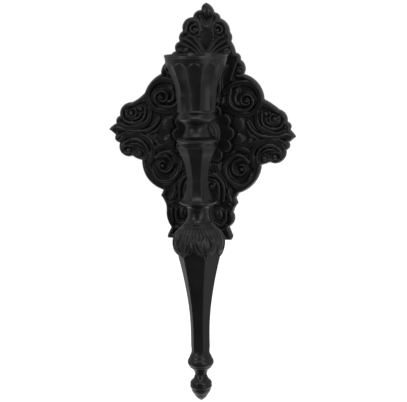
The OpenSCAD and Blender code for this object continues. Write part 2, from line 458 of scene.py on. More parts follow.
@dataclass(frozen=True)
class Metal(Finish):
    """Plated or lacquered metal: a fine brushed grain round the piece and faint clouds of tarnish."""

    tarnish: str
    cloud_mm: float = 9.0
    grain_mm: float = 0.5

    def build(self) -> bpy.types.Material:
        """Return the material."""
        material, tree, shader, place = self.start()
        clouds = {"Scale": 1 / (self.cloud_mm * MM), "Detail": 5.0, "Roughness": 0.65}
        cloud = add_node(tree, "TexNoise", clouds, {"Vector": place}).outputs["Fac"]
        lines = add_node(tree, "Mapping", {"Scale": (1.0, 1.0, 14.0)}, {"Vector": place}).outputs["Vector"]
        brushing = {"Scale": 0.1 / (self.grain_mm * MM), "Detail": 3.0}
        grain = add_node(tree, "TexNoise", brushing, {"Vector": lines}).outputs["Fac"]
        shades = ((0.34, self.tarnish), (0.62, self.colour))
        tint = add_node(tree, "ValToRGB", links={"Fac": cloud}, stops=shades)
        tree.links.new(tint.outputs["Color"], shader.inputs["Base Color"])
        sheen = ((0.3, self.roughness + 0.12), (0.7, self.roughness - 0.06))
        gloss = add_node(tree, "ValToRGB", links={"Fac": cloud}, stops=sheen)
        tree.links.new(gloss.outputs["Color"], shader.inputs["Roughness"])
        bump = add_node(tree, "Bump", {"Strength": 0.12, "Distance": 0.0002}, {"Height": grain})
        tree.links.new(bump.outputs["Normal"], shader.inputs["Normal"])
        shader.inputs["Metallic"].default_value = 1.0
        return material


@dataclass
class Workshop:
    """Finishes pieces: gives each one its place, body, slot and material."""

    turn_deg: float
    axis_y: float
    materials: dict[Slot, bpy.types.Material] = field(default_factory=dict)

    def mix_finishes(self) -> None:
        """Make the three finishes."""
        self.materials = {
            Slot.ENAMEL: SatinBlackEnamel("satin black enamel", "19191a", 0.34).build(),
            Slot.STEEL: Metal("zinc plated steel", "b9bcc0", 0.34, "84878c").build(),
            Slot.BRASS: Metal("lacquered brass", "b8934a", 0.30, "7d6030").build(),
        }

    def torch_place(self) -> Matrix:
        """Return the move from the torch's own upright axis to its place, in millimetres."""
        turn = Matrix.Rotation(-math.radians(self.turn_deg), 4, "Y")
        return turn @ Matrix.Translation((0, self.axis_y, 0))

    def finish(
        self,
        obj: bpy.types.Object,
        body: Body,
        slot: Slot,
        *replaced: str,
        place: Matrix | None = None,
        sharp: float = 35,
    ) -> None:
        """Bring a piece to metres, smooth it, dress it and hand it to its body.

        Args:
            obj: the piece, in millimetres.
            body: body that it rides on.
            slot: the record's finish.
            replaced: CAD nodes that it stands for.
            place: move to make before the change of units.
            sharp: edges steeper than this angle in degrees stay sharp.
        """
        scale = Matrix.Scale(MM, 4)
        obj.data.transform(scale @ (place or Matrix.Identity(4)))
        obj.data.update()
        take_up(obj)
        bpy.ops.object.shade_smooth_by_angle(angle=math.radians(sharp))
        obj.data.materials.clear()
        obj.data.materials.append(self.materials[slot])
        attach(obj, body.value)
        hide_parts(*replaced)
        LOG.info("%s: %d faces", obj.name, len(obj.data.polygons))

    def dress_node(self, node: str, slot: Slot) -> None:
        """Give a CAD node that stays its finish."""
        obj = frame["nodes"][node]
        for holder in obj.material_slots:
            holder.material = self.materials[slot]
        if not obj.material_slots:
            obj.data.materials.append(self.materials[slot])


# ------------------------------------------------------------------------------------------ wall plate


def far_side(x: float) -> float:
    """Place on the left half for one on the right: the left half reaches a little further out."""
    return -(x + 6 * (x / 112) ** 2)


@dataclass(frozen=True)
class Strand:
    """Raised band of the relief that tapers along a smooth path.

    Attributes:
        path: points of its crest.
        widths: half widths at its start, middle and end.
        height: height of its crest over the ground.
        section: shape across it.
    """

    path: tuple[Point, ...]
    widths: tuple[float, float, float]
    height: float = 4.0
    section: Section = Section.ROUND

    def mirrored(self) -> "Strand":
        """Return its mirror image on the other half of the plate."""
        return Strand(tuple((far_side(x), z) for x, z in self.path), self.widths, self.height, self.section)


@dataclass(frozen=True)
class Dome:
    """Rounded boss or oval of the relief, centred at x and z."""

    x: float
    z: float
    half_x: float
    half_z: float
    height: float

    def mirrored(self) -> "Dome":
        """Return its mirror image."""
        return Dome(far_side(self.x), self.z, self.half_x, self.half_z, self.height)


def near_stretch(xs: Array, zs: Array, a: Array, b: Array, reach: float) -> tuple[slice, slice, Array]:
    """Distance from one straight stretch to the grid points around it.

    Args:
        xs: the grid's x lines.
        zs: the grid's z lines.
        a: start of the stretch.
        b: its end.
        reach: how far out grid points are taken.

    Returns:
        The x lines and z lines taken, and the distances there.
    """
    i = slice(*np.searchsorted(xs, (min(a[0], b[0]) - reach, max(a[0], b[0]) + reach)))
    j = slice(*np.searchsorted(zs, (min(a[1], b[1]) - reach, max(a[1], b[1]) + reach)))
    gx, gz = np.meshgrid(xs[i], zs[j], indexing="ij")
    span = b - a
    t = np.clip(((gx - a[0]) * span[0] + (gz - a[1]) * span[1]) / max(span @ span, 1e-9), 0, 1)
    return i, j, np.hypot(gx - a[0] - t * span[0], gz - a[1] - t * span[1])


def spiral(x: float, z: float, radii: Point, degrees: Point, steps: int = 16) -> tuple[Point, ...]:
    """Points of a spiral whose radius changes evenly with its angle.

    Args:
        x: centre to the right.
        z: centre up.
        radii: first and last radius.
        degrees: first and last angle, counterclockwise from +X.
        steps: number of stretches.

    Returns:
        Its points.
    """
    t = np.linspace(0, 1, steps + 1)
    r = radii[0] + (radii[1] - radii[0]) * t
    a = np.radians(degrees[0] + (degrees[1] - degrees[0]) * t)
    return tuple((float(px), float(pz)) for px, pz in zip(x + r * np.cos(a), z + r * np.sin(a)))


RIGHT_EDGE = (
    (-2, 157, 0.12), (8, 146, 0.19), (15.5, 139, 0.16), (27.5, 123, 0.15), (29.5, 112, 0.06),
    (35.5, 98.5, 0.24), (41.5, 90.5, 0.2), (46.5, 73.5, 0.16), (72, 44, 0.03), (90.5, 32.5, 0.19),
    (101, 18, 0.26), (105, 8.5, 0.03), (112, 0.5, 0.02), (104, -7, 0.26), (101, -16.5, 0.31),
    (82, -32, 0.02), (71.5, -36, 0.16), (45.5, -71.5, 0), (42, -78, 0), (44.5, -84, -0.05), (39, -96, 0.22),
    (34.5, -114, 0), (39.5, -125.5, 0), (38, -130, 0),
)
LEFT_EDGE = (
    (2, 157, 0.2), (7.5, 148.5, 0.19), (17.5, 139.5, 0.26), (29.5, 122.5, 0.2), (33, 110, 0.25),
    (37.5, 98, 0.25), (42.5, 88.5, 0.17), (55, 70, 0.1), (74, 47, -0.06), (90.5, 34, 0.24),
    (104.5, 17, 0.25), (108.5, 8, 0.05), (118, 0, 0), (109.5, -6.5, 0.29), (104, -16, 0.33),
    (87.5, -32, 0.07), (76, -36.5, 0.17), (48.5, -72, 0), (51.5, -79, -0.1), (44, -95.5, 0.1),
    (37.5, -117.5, 0), (41.5, -126.5, 0), (42, -131.5, 0),
)
HOLLOW = (
    (0, 124), (12, 124), (25, 114), (26, 96), (36, 84), (40, 72), (62, 54), (66, 38), (95, 16), (98, -2),
    (94, -18), (88, -26), (66, -30), (62, -48), (50, -62), (37, -76), (34, -96), (34, -110), (30, -114),
    (0, -114),
)

# Relief that both halves share, drawn on the right one
PAIRED: tuple[Strand | Dome, ...] = (
    # crest: ribs of the palmette, then its curls
    Strand(((2.5, 126), (4.5, 134), (9, 142)), (1.4, 1.6, 1.2), 3.6),
    Strand(((5.5, 124), (8, 133), (13, 139.5)), (1.4, 1.7, 1.2), 3.6),
    Strand(((9, 118), (7.5, 126), (10.5, 133), (17, 135.5), (23, 130), (24, 121)), (1.6, 2.4, 1.6), 4.2),
    Strand(spiral(14.5, 125, (6.6, 2.6), (200, -200)), (1.8, 1.6, 1.2), 4.4),
    Dome(14.2, 125, 2.6, 2.4, 5.0),
    Strand(((2, 96), (8, 106), (14, 114), (21, 117.5)), (1.3, 2.0, 1.4), 3.4),
    Strand(((5.5, 96), (13, 105), (22, 111.5), (28, 113)), (1.3, 2.0, 1.6), 3.4),
    Strand(((9, 96), (18, 102.5), (27, 106), (32, 106)), (1.3, 1.9, 1.6), 3.2),
    Strand(((16, 94), (24, 97.5), (33, 100)), (1.5, 1.8, 1.5), 3.0),
    # side of the crest down to the first volute
    Strand(((31, 66), (33.5, 76), (37, 86), (42, 92)), (1.8, 2.2, 1.4), 3.6),
    Strand(spiral(42, 77, (6.5, 2.2), (-120, 260)), (1.9, 1.8, 1.2), 4.2),
    Dome(42, 77, 2.3, 2.3, 4.6),
    # upper inner volute: outer band, wrap, inner spiral and its second lobe
    Strand(((27, 36), (36, 27.5), (48, 24.5), (60, 28.5), (67, 38), (67.5, 48), (62, 57.5), (52, 63),
            (41, 62.5), (31, 58), (24, 50)), (2.2, 3.2, 2.6), 4.6, Section.COVE),
    Strand(((31.5, 54), (30, 44), (33, 35), (41, 30), (51, 31), (58, 37), (59.5, 44)), (2.4, 2.8, 2.0), 4.4),
    Strand(spiral(50.5, 42, (8.4, 3.0), (0, 430)), (2.1, 1.9, 1.3), 4.6),
    Dome(50.8, 41.6, 2.6, 2.6, 5.2),
    Strand(((39, 53), (36.5, 46), (38, 39.5), (44, 36.5)), (3.4, 3.0, 1.4), 3.8),
    # upper outer scroll: three sweeps under two balls
    Strand(((64.5, 31), (64, 21), (67.5, 11), (77, 5), (89, 3.6), (99, 7)),
           (2.0, 3.2, 1.8), 4.6, Section.COVE),
    Strand(((70.5, 27), (70.5, 19), (75, 12), (84, 9), (93, 11.5), (97, 18)), (1.6, 2.1, 1.4), 4.0),
    Strand(((75, 21), (78, 16), (85, 13.4), (91.5, 17), (92, 24)), (1.3, 1.6, 1.3), 3.6),
    Dome(75.5, 27.2, 3.6, 3.6, 5.2),
    Strand(spiral(86, 21.5, (6.0, 5.2), (110, 400)), (1.4, 1.5, 1.0), 3.8),
    Dome(86.2, 21.4, 3.9, 3.9, 5.2),
    Strand(((72, 37), (80, 34), (89, 29.5), (96.5, 24)), (1.6, 2.0, 1.4), 3.6),
    # leaves that fill the field between the rosette and the stem
    Strand(((45, -15), (51, -10.5), (57.5, -4.5)), (2.4, 3.6, 1.4), 3.0),
    Strand(((54, -15.5), (59, -10.5), (66.5, -4.5)), (1.6, 2.4, 1.2), 3.0),
    Strand(((54, 5), (57, 0.5), (63, -2)), (1.4, 2.2, 1.2), 2.6),
    # side tip and the long stem that runs into it
    Strand(((53, 16), (57.5, 9), (65, 2.4), (77, -0.6), (91, -0.4)), (2.0, 2.4, 1.4), 4.2),
    Strand(((92, 0.5), (101, 1.8), (110, 0.5)), (1.4, 3.4, 1.2), 4.4),
    Strand(((99, 12), (103, 9.6), (106, 5.5)), (1.6, 2.4, 1.2), 3.6),
    Strand(((91, -2.6), (97.5, -6), (103.5, -11.5)), (1.5, 1.9, 1.4), 4.6),
    # lower outer scroll
    Strand(((62, -37), (59.6, -26), (62.5, -15), (71, -7.4), (82, -5), (92.5, -7.8), (99, -15.5)),
           (2.2, 3.2, 2.4), 4.6, Section.COVE),
    Strand(((67.5, -34), (66, -25), (69.5, -16.4), (77.5, -11.4), (87, -11.6), (94, -17), (95.5, -25)),
           (1.5, 2.1, 1.8), 4.0),
    Strand(((73, -19.4), (78, -16.2), (84, -16.2)), (1.1, 1.4, 1.1), 3.4),
    Dome(75.4, -27, 4.2, 4.2, 5.0),
    Strand(spiral(88.2, -24.6, (7.0, 5.6), (-110, 130)), (1.3, 1.5, 1.1), 3.8),
    Dome(88, -24.6, 4.0, 4.2, 5.2),
    # lower inner volute
    Strand(((27, -22), (35, -17.6), (45, -16.6), (55, -20), (62, -28), (65, -39), (62.5, -51), (55, -61),
           (45, -67)), (2.0, 2.6, 2.4), 4.2, Section.COVE),
    Strand(((56, -32), (49.5, -26), (40.5, -24.6), (32, -29), (28, -38), (29.5, -49), (37, -58),
            (47, -60.5), (56, -56), (60, -47)), (2.2, 3.0, 1.8), 4.6),
    Strand(spiral(46.5, -40.5, (12.2, 4.0), (60, 470), 22), (2.2, 2.0, 1.4), 4.4),
    Dome(48, -41.5, 3.2, 3.2, 5.2),
    # pair of curls under the rosette
    Strand(((2, -50), (10, -49.5), (19, -52), (25.5, -59.5), (27.6, -70), (27, -82)), (2.0, 2.5, 1.6), 4.2),
    Strand(((4.5, -57), (11, -55.5), (17.5, -58), (21, -65), (21.6, -75), (19.6, -86)), (1.6, 2.0, 1.4), 4.0),
    Strand(spiral(12, -63, (5.0, 2.0), (160, -170)), (1.5, 1.4, 1.1), 4.2),
    Dome(12, -63.2, 2.4, 2.4, 4.8),
    Strand(((33, -67), (33.6, -76), (38.5, -83.5)), (1.6, 3.2, 1.2), 3.8),
    Strand(((37, -63), (44, -65.6), (49, -71)), (1.4, 2.0, 1.3), 3.6),
    Strand(((33, -84), (39.5, -88), (45.5, -83.5)), (1.3, 2.2, 1.4), 3.6),
    # volutes over the foot: smooth oval in a U, and the fan beside it
    Dome(22.6, -98, 5.4, 8.4, 4.4),
    Strand(((11.4, -88), (11.6, -99), (16.4, -108), (25, -111.4), (30.4, -105), (30.6, -94)),
           (1.6, 2.2, 1.5), 4.0),
    Strand(((6, -90), (6.4, -102), (11.5, -112)), (1.5, 2.0, 1.4), 3.4),
    Strand(((35.4, -90), (36.4, -100), (34, -111)), (1.4, 1.9, 1.4), 3.4),
    Strand(((40.5, -94), (40.5, -102), (38.5, -110)), (1.0, 1.4, 1.0), 3.0),
    Strand(((0, -117.6), (16, -117.8), (34, -117)), (1.6, 1.7, 1.5), 3.6),
    Strand(((0, -128), (20, -128), (38.4, -128)), (3.0, 3.0, 3.0), 4.0),
    # field behind the torch, between the crest and the rosette
    Strand(((4, 38), (8, 54), (6, 70), (12, 84)), (1.8, 2.6, 1.6), 3.6),
    Strand(((12, 38), (18, 52), (18, 68), (24, 82)), (1.8, 2.4, 1.6), 3.6),
    Strand(((20, 34), (23, 44)), (1.6, 2.2, 1.6), 3.2),
)
SINGLE: tuple[Strand | Dome, ...] = (
    Dome(0, 147, 5.6, 8.6, 4.2),
    Dome(0, 128.6, 2.6, 4.0, 3.6),
    Dome(0, 114, 10.0, 12.0, 1.7),
    Dome(-24.4, 99.4, 4.4, 4.2, 4.6),
    Strand(spiral(26, 98.4, (4.0, 1.4), (150, -190)), (1.4, 1.3, 1.0), 4.2),
    Strand(((0, 34), (0, 60), (0, 90)), (2.0, 2.8, 1.6), 3.4),
    Strand(((0, -40), (0, -62), (0, -84)), (2.2, 2.8, 1.4), 3.6),
    Strand(((0, -88), (0, -100), (0, -113)), (2.4, 3.2, 1.6), 3.6),
)


@dataclass
class WallPlate:
    """Cast plate: relief in front, lobed edge, hollow back with a boss for the arm bolt.

    Attributes:
        pitch: spacing of the grid that the relief is made on.
        ground: distance of the relief's ground from the wall.
        edge_y: distance from the wall where the front's rounding starts.
        edge_round: how far in from the edge the rounding ends.
        edge_reach: how far in from the edge its distance is worked out.
        seat: distance of the arm's seat from the wall.
        petal_reach: distance of the front petals' tips from the arm's axis.
        notch_depth: how far in the gaps between them go.
        back_radius: distance of the back petals' middles from the axis.
        last_row: height of the row of faces against the wall.
        pillars: x, z and radius of what stays solid behind: the arm bolt's pillar and the two screws'.
        recess: radius and depth of the recess for the bolt's head.
        bolt_hole: radius of the bolt's hole.
        fullness: share by which strands are wider than drawn.
    """

    shop: Workshop
    pitch: float = 0.72
    ground: float = 9.0
    edge_y: float = 5.2
    edge_round: float = 2.6
    edge_reach: float = 9.0
    seat: float = 15.5
    hollow_depth: float = 5.5
    petals: int = 12
    first_petal_deg: float = 3.5
    petal_reach: float = 39.2
    notch_depth: float = 6.2
    back_radius: float = 43.0
    last_row: float = 0.8
    pillars: tuple[tuple[float, float, float], ...] = ((0, 0, 17.0), (19, 106, 5.0), (-19, 106, 5.0))
    recess: Point = (9.5, 8.6)
    bolt_hole: float = 4.5
    fullness: float = 1.24

    def outline_points(self) -> Array:
        """Return the closed outline of the plate, clockwise from the crest."""
        right = refined(outline(RIGHT_EDGE, 10), 1.5)
        left = refined(outline(LEFT_EDGE, 10), 1.5)[1:]
        return np.array(right + [(-x, z) for x, z in reversed(left)], float)

    def grid(self) -> tuple[Array, Array]:
        """Return the grid's x and z lines."""
        box_low, box_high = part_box("backplate")
        margin = self.pitch * 2
        xs = np.arange(box_low[0] / MM - margin, box_high[0] / MM + margin, self.pitch)
        zs = np.arange(box_low[2] / MM - margin, box_high[2] / MM + margin, self.pitch)
        return xs, zs

    def edge_distance(self, xs: Array, zs: Array, border: Array) -> Array:
        """Distance of each grid point from the outline, positive inside.

        Args:
            xs: the grid's x lines.
            zs: the grid's z lines.
            border: closed outline.

        Returns:
            Distances, x along the first index.
        """
        distance = np.full((len(xs), len(zs)), 99.0)
        inside = np.zeros((len(xs), len(zs)), bool)
        for a, b in zip(border, np.roll(border, -1, axis=0)):
            i, j, near = near_stretch(xs, zs, a, b, self.edge_reach)
            distance[i, j] = np.minimum(distance[i, j], near)
            rows = (zs > min(a[1], b[1])) & (zs <= max(a[1], b[1]))
            if rows.any():
                crossing = a[0] + (zs[rows] - a[1]) / (b[1] - a[1]) * (b[0] - a[0])
                inside[:, rows] ^= xs[:, None] < crossing[None, :]
        return np.where(inside, distance, -distance)

    def raise_strand(self, height: Array, xs: Array, zs: Array, strand: Strand) -> None:
        """Raise one strand out of the relief, wherever it is the highest."""
        path = smooth_path(strand.path)
        along = np.linspace(0, 1, len(path))
        widths = np.interp(along, (0, 0.5, 1), strand.widths) * self.fullness
        for (a, b), w in zip(zip(path, path[1:]), widths):
            i, j, near = near_stretch(xs, zs, a, b, w + 0.1)
            across = near / w
            crown = np.sqrt(np.clip(1 - across**2, 0, 1)) ** 0.9
            if strand.section is Section.COVE:
                crown -= 0.34 * np.clip(1 - (across / 0.62) ** 2, 0, 1)
            height[i, j] = np.maximum(height[i, j], crown * strand.height * min(1.0, 0.55 + w / 6))

    def raise_dome(self, height: Array, xs: Array, zs: Array, dome: Dome) -> None:
        """Raise one boss out of the relief."""
        i = slice(*np.searchsorted(xs, (dome.x - dome.half_x, dome.x + dome.half_x)))
        j = slice(*np.searchsorted(zs, (dome.z - dome.half_z, dome.z + dome.half_z)))
        gx, gz = np.meshgrid(xs[i], zs[j], indexing="ij")
        out = ((gx - dome.x) / dome.half_x) ** 2 + ((gz - dome.z) / dome.half_z) ** 2
        height[i, j] = np.maximum(height[i, j], dome.height * np.sqrt(np.clip(1 - out, 0, 1)))

    def raise_rosette(self, height: Array, xs: Array, zs: Array) -> None:
        """Raise two rings of veined petals and the stepped seat of the arm."""
        gx, gz = np.meshgrid(xs, zs, indexing="ij")
        radius, angle = np.hypot(gx, gz), np.arctan2(gz, gx)
        half = math.pi / self.petals
        # petals of the back ring stand in the gaps of the front one
        across = around(angle, self.petals, self.first_petal_deg + math.degrees(half)) * radius
        dome = np.clip(1 - (across / 10.6) ** 2 - ((radius - self.back_radius) / 9.6) ** 2, 0, 1)
        veins = 0.4 * np.cos(across * math.pi / 3.6) ** 8 * smoothstep(0, 0.5, dome)
        height[:] = np.maximum(height, 3.1 * dome**0.35 - veins)
        turn = around(angle, self.petals, self.first_petal_deg)
        offset = np.abs(turn) / half
        tip = self.petal_reach - self.notch_depth * offset**2.4
        rise = np.clip((tip - radius) / 3.0, 0, 1)
        side = np.clip((1 - offset) * half * radius / 1.8, 0, 1)
        body = np.sqrt(1 - (1 - rise) ** 2) * (0.7 + 0.3 * np.sqrt(1 - (1 - side) ** 2))
        veins = 0.3 * np.cos(turn * radius * math.pi / 3.2) ** 8 * smoothstep(24, 31, radius) * rise
        petal = (3.7 + 1.5 * smoothstep(20, 37, radius)) * body - veins
        gap = np.exp(-(((radius - tip - 0.7) / 0.8) ** 2))
        height[:] = np.where(radius < tip, np.maximum(petal, 1.0), height * (1 - 0.75 * gap))
        for reach, top, edge in ((20.6, 5.4, 1.2), (17.6, self.seat - self.ground, 1.4)):
            height[:] = np.maximum(height, top * np.sqrt(np.clip((reach - radius) / edge, 0, 1)))

    def relief(self, xs: Array, zs: Array, border: Array) -> tuple[Array, Array]:
        """Return the depth of the front from the wall and the distance from the edge, over the grid."""
        distance = self.edge_distance(xs, zs, border)
        height = 0.35 * np.ones_like(distance)
        rim = 1 - ((distance - 3.0) / 2.7) ** 2
        height = np.maximum(height, 3.2 * np.sqrt(np.clip(rim, 0, 1)))
        halves = [half for item in PAIRED for half in (item, item.mirrored())]
        for item in (*halves, *SINGLE):
            raise_it = self.raise_strand if isinstance(item, Strand) else self.raise_dome
            raise_it(height, xs, zs, item)
        self.raise_rosette(height, xs, zs)
        front = self.ground + height
        drop = 1 - np.clip(distance / self.edge_round, 0, 1)
        shoulder = self.edge_y + (front - self.edge_y) * np.sqrt(np.clip(1 - drop**2, 0, 1))
        return self.cast_softness(shoulder), distance

    @staticmethod
    def cast_softness(depth: Array) -> Array:
        """Soften creases as sand casting and enamel do."""
        soft = depth.copy()
        soft[1:-1, 1:-1] = (
            4 * depth[1:-1, 1:-1] + depth[:-2, 1:-1] + depth[2:, 1:-1] + depth[1:-1, :-2] + depth[1:-1, 2:]
        ) / 8
        return soft

    def front_mesh(self) -> bpy.types.Object:
        """Cut the relief's grid along the outline, so that its border lies exactly on the edge."""
        xs, zs = self.grid()
        depth, distance = self.relief(xs, zs, self.outline_points())
        inside = distance > 0
        numbers = -np.ones(inside.shape, int)
        numbers[inside] = np.arange(inside.sum())
        gx, gz = np.meshgrid(xs, zs, indexing="ij")
        verts = np.stack([gx[inside], -depth[inside], gz[inside]], axis=1).tolist()
        cuts: dict[tuple, int] = {}

        def cut(p: tuple[int, int], q: tuple[int, int]) -> int:
            """Number of the point where the outline crosses a grid edge, made when it is first asked for."""
            key = (min(p, q), max(p, q))
            if key not in cuts:
                d0, d1 = distance[key[0]], distance[key[1]]
                t = d0 / (d0 - d1)
                (i0, j0), (i1, j1) = key
                cuts[key] = len(verts)
                verts.append([xs[i0] + (xs[i1] - xs[i0]) * t, -self.edge_y, zs[j0] + (zs[j1] - zs[j0]) * t])
            return cuts[key]

        faces = []
        full = inside[:-1, :-1] & inside[1:, :-1] & inside[1:, 1:] & inside[:-1, 1:]
        any_in = inside[:-1, :-1] | inside[1:, :-1] | inside[1:, 1:] | inside[:-1, 1:]
        for i, j in np.argwhere(full):
            faces.append([numbers[i, j], numbers[i + 1, j], numbers[i + 1, j + 1], numbers[i, j + 1]])
        for i, j in np.argwhere(any_in & ~full):
            corners = [(i, j), (i + 1, j), (i + 1, j + 1), (i, j + 1)]
            face = []
            for p, q in zip(corners, corners[1:] + corners[:1]):
                if inside[p]:
                    face.append(numbers[p])
                if inside[p] != inside[q]:
                    face.append(cut(p, q))
            if len(face) > 2:
                faces.append(face)
        return mesh_object("rococo_plate", verts, [[int(n) for n in f] for f in faces])

    def hollow_cutter(self) -> bpy.types.Object:
        """Return the solid that hollows the back, all but its pillars."""
        points = list(HOLLOW) + [(-x, z) for x, z in reversed(HOLLOW) if x > 0.01]
        cutter = mesh_object("hollow_cutter", [(x, 1.0, z) for x, z in points], [list(range(len(points)))])
        inwards = {"value": (0, -1 - self.hollow_depth, 0)}
        edit(
            cutter,
            lambda: bpy.ops.mesh.extrude_region_move(TRANSFORM_OT_translate=inwards),
            lambda: bpy.ops.mesh.select_all(action="SELECT"),
            lambda: bpy.ops.mesh.normals_make_consistent(inside=False),
        )
        for x, z, radius in self.pillars:
            self.cut_with(cutter, self.rod(x, z, radius, -3, self.hollow_depth + 3))
        return cutter

    @staticmethod
    def rod(x: float, z: float, radius: float, start: float, end: float) -> bpy.types.Object:
        """Return a cylinder along Y between two distances from the wall."""
        deselect_all()
        bpy.ops.mesh.primitive_cylinder_add(
            vertices=96,
            radius=radius,
            depth=end - start,
            location=(x, -(start + end) / 2, z),
            rotation=(math.pi / 2, 0, 0),
        )
        bpy.ops.object.transform_apply(location=True, rotation=True, scale=True)
        return bpy.context.object

    @staticmethod
    def cut_with(obj: bpy.types.Object, cutter: bpy.types.Object) -> None:
        """Take one solid out of another."""
        apply_modifier(obj, "BOOLEAN", operation="DIFFERENCE", object=cutter, solver="EXACT")
        bpy.data.objects.remove(cutter, do_unlink=True)

    def make(self) -> None:
        """Model the plate and hand it over."""
        plate = self.front_mesh()
        take_up(plate)
        bpy.ops.object.mode_set(mode="EDIT")
        bpy.ops.mesh.select_mode(type="EDGE")
        bpy.ops.mesh.select_all(action="DESELECT")
        bpy.ops.mesh.select_non_manifold(
            extend=False, use_wire=False, use_multi_face=False, use_non_contiguous=False, use_verts=False
        )
        for back in (self.edge_y - self.last_row, self.last_row):
            bpy.ops.mesh.extrude_edges_move(TRANSFORM_OT_translate={"value": (0, back, 0)})
        bpy.ops.mesh.edge_face_add()
        bpy.ops.mesh.select_all(action="SELECT")
        bpy.ops.mesh.normals_make_consistent(inside=False)
        bpy.ops.object.mode_set(mode="OBJECT")
        self.cut_with(plate, self.hollow_cutter())
        self.cut_with(plate, self.rod(0, 0, self.recess[0], -3, self.recess[1]))
        self.cut_with(plate, self.rod(0, 0, self.bolt_hole, -3, self.seat + 4))
        self.shop.finish(plate, Body.PLATE, Slot.ENAMEL, "backplate", sharp=50)


# ----------------------------------------------------------------------------------------------- torch


@dataclass
class Torch:
    """Stacked sections of the torch, modelled upright on the Z axis and then put in place.

    Attributes:
        steps: number of steps round a many-sided section.
        flute_first_deg: middle of one flute, as for the flats of the other sections.
        ribs: number of fine ribs round the bulb.
        rib_depth: depth of the grooves between them.
        seam_depth: depth of the groove between two leaves.
        tongue_depth: depth of the sunk tongue of a leaf.
        border_height: height of the borders round the tongue.
    """

    shop: Workshop
    steps: int = 240
    flutes: int = 12
    leaves: int = 6
    ribs: int = 36
    rib_depth: float = 1.0
    seam_depth: float = 1.5
    tongue_depth: float = 1.4
    border_height: float = 0.5
    flute_first_deg: float = -84.0
    octagon_first_deg: float = -87.5
    hexagon_first_deg: float = -95.0

    def hand_over(self, obj: bpy.types.Object, node: str, sharp: float = 35) -> None:
        """Put a section in place and hand it over in the stead of its CAD node."""
        self.shop.finish(obj, Body.TORCH, Slot.ENAMEL, node, place=self.shop.torch_place(), sharp=sharp)

    def turned(
        self, name: str, nodes: Sequence[tuple[float, float, float]], node: str, steps: int = 96
    ) -> None:
        """Turn a plain section from its outline, with softened corners.

        Args:
            name: name of the piece.
            nodes: radius, height and bulge of the stretch that follows, from the top down.
            node: CAD node that it replaces.
            steps: number of steps round the axis.
        """
        points = outline(nodes)
        profile = [(0.0, points[0][1]), *points]
        if points[-1][0] > 0.01:
            profile.append((0.0, points[-1][1]))
        obj = lathe(name, profile, steps)
        self.soften(obj)
        self.hand_over(obj, node)

    @staticmethod
    def soften(obj: bpy.types.Object, width: float = 0.45) -> None:
        """Round the sharp rings of a turned section."""
        take_up(obj)
        bpy.ops.object.mode_set(mode="EDIT")
        bpy.ops.mesh.select_mode(type="EDGE")
        bpy.ops.mesh.select_all(action="DESELECT")
        bpy.ops.mesh.edges_select_sharp(sharpness=math.radians(30))
        bpy.ops.mesh.bevel(offset=width, segments=3, profile=0.5, clamp_overlap=True)
        bpy.ops.object.mode_set(mode="OBJECT")

    def make_cup(self) -> None:
        """Flared cup: plain lip over arched flutes, hollow down to its floor."""
        side = outline(((37.2, 97.6, 0), (37.2, 95.2, 0), (36.6, 94.4, 0), (35.9, 88.7, 0.02),
                        (28.8, 71, -0.05), (24.2, 50, -0.02), (22.9, 33.7, 0)), 14)
        hollow = outline(((16.5, 42, 0), (18.6, 50, 0.03), (24.4, 71, 0.02), (33.0, 90, 0),
                        (34.6, 97.6, 0)), 10)
        profile = [(0.0, 42.0), *refined(hollow, 1.5), *refined(side, 0.9), (0.0, 33.7)]
        cup = lathe("fluted_cup_casting", profile, self.steps)

        def flute(angle: Array, radius: Array, height: Array) -> Array:
            """Sink the flutes into the outside wall."""
            side_r = np.interp(height, [z for _, z in reversed(side)], [r for r, _ in reversed(side)])
            outside = np.abs(radius - side_r) < 0.6
            offset = np.abs(around(angle, self.flutes, self.flute_first_deg)) / (math.pi / self.flutes)
            top, shoulder = 89.2, 80.0
            rise = np.clip(height - shoulder, 0, None) / (top - shoulder)
            arch = np.sqrt(np.clip(1 - rise**2, 1e-6, 1))
            bowl = np.clip(1 - (offset / (0.95 * arch)) ** 2, 0, 1) ** 0.75
            return radius - outside * bowl * 2.1 * side_r / 33 * (height < top)

        reshape(cup, flute)
        self.hand_over(cup, "fluted_cup", 28)

    def make_column(
        self, name: str, node: str, nodes: Sequence, count: int, first: float, fade: tuple, corner: float
    ) -> None:
        """Model a many-sided section whose corners can die into a round end.

        Args:
            name: name of the piece.
            node: CAD node that it replaces.
            nodes: distance of the flats, height and bulge, from the top down.
            count: number of flats.
            first: middle of one flat, in degrees.
            fade: heights from the bottom up, and the share by which the section is round at each.
            corner: radius of the rounded corners.
        """
        points = refined(outline(nodes, 10), 1.2)
        profile = [(0.0, points[0][1]), *points, (0.0, points[-1][1])]
        obj = lathe(name, profile, self.steps)

        def facet(angle: Array, radius: Array, height: Array) -> Array:
            """Give a turned section its flats."""
            offset = around(angle, count, first)
            least = np.maximum(radius, corner * 1.5)
            flat = many_sided(offset, least, count, corner) * radius / least
            round_share = np.interp(height, *fade)
            return flat * (1 - round_share) + radius * round_share

        reshape(obj, facet)
        self.hand_over(obj, node, 32)

    def make_baluster(self) -> None:
        """Eight-sided baluster that ends in a turned base ring."""
        self.make_column(
            "eight_sided_baluster",
            "baluster",
            ((22.2, -9.8, 0.03), (18.4, -20, -0.04), (12.8, -42, -0.06), (12.6, -52, -0.06),
             (15.2, -66, -0.06), (20.3, -73.8, 0), (21.4, -74.7, 0.3), (21.4, -77.3, 0), (20.6, -77.8, 0),
             (18.0, -78.4, 0), (17.8, -79.6, -0.2), (13, -83.6, 0)),
            8,
            self.octagon_first_deg,
            ((-84, -73.4, -70, -62, -9.8), (1, 1, 0.5, 0, 0)),
            1.1,
        )

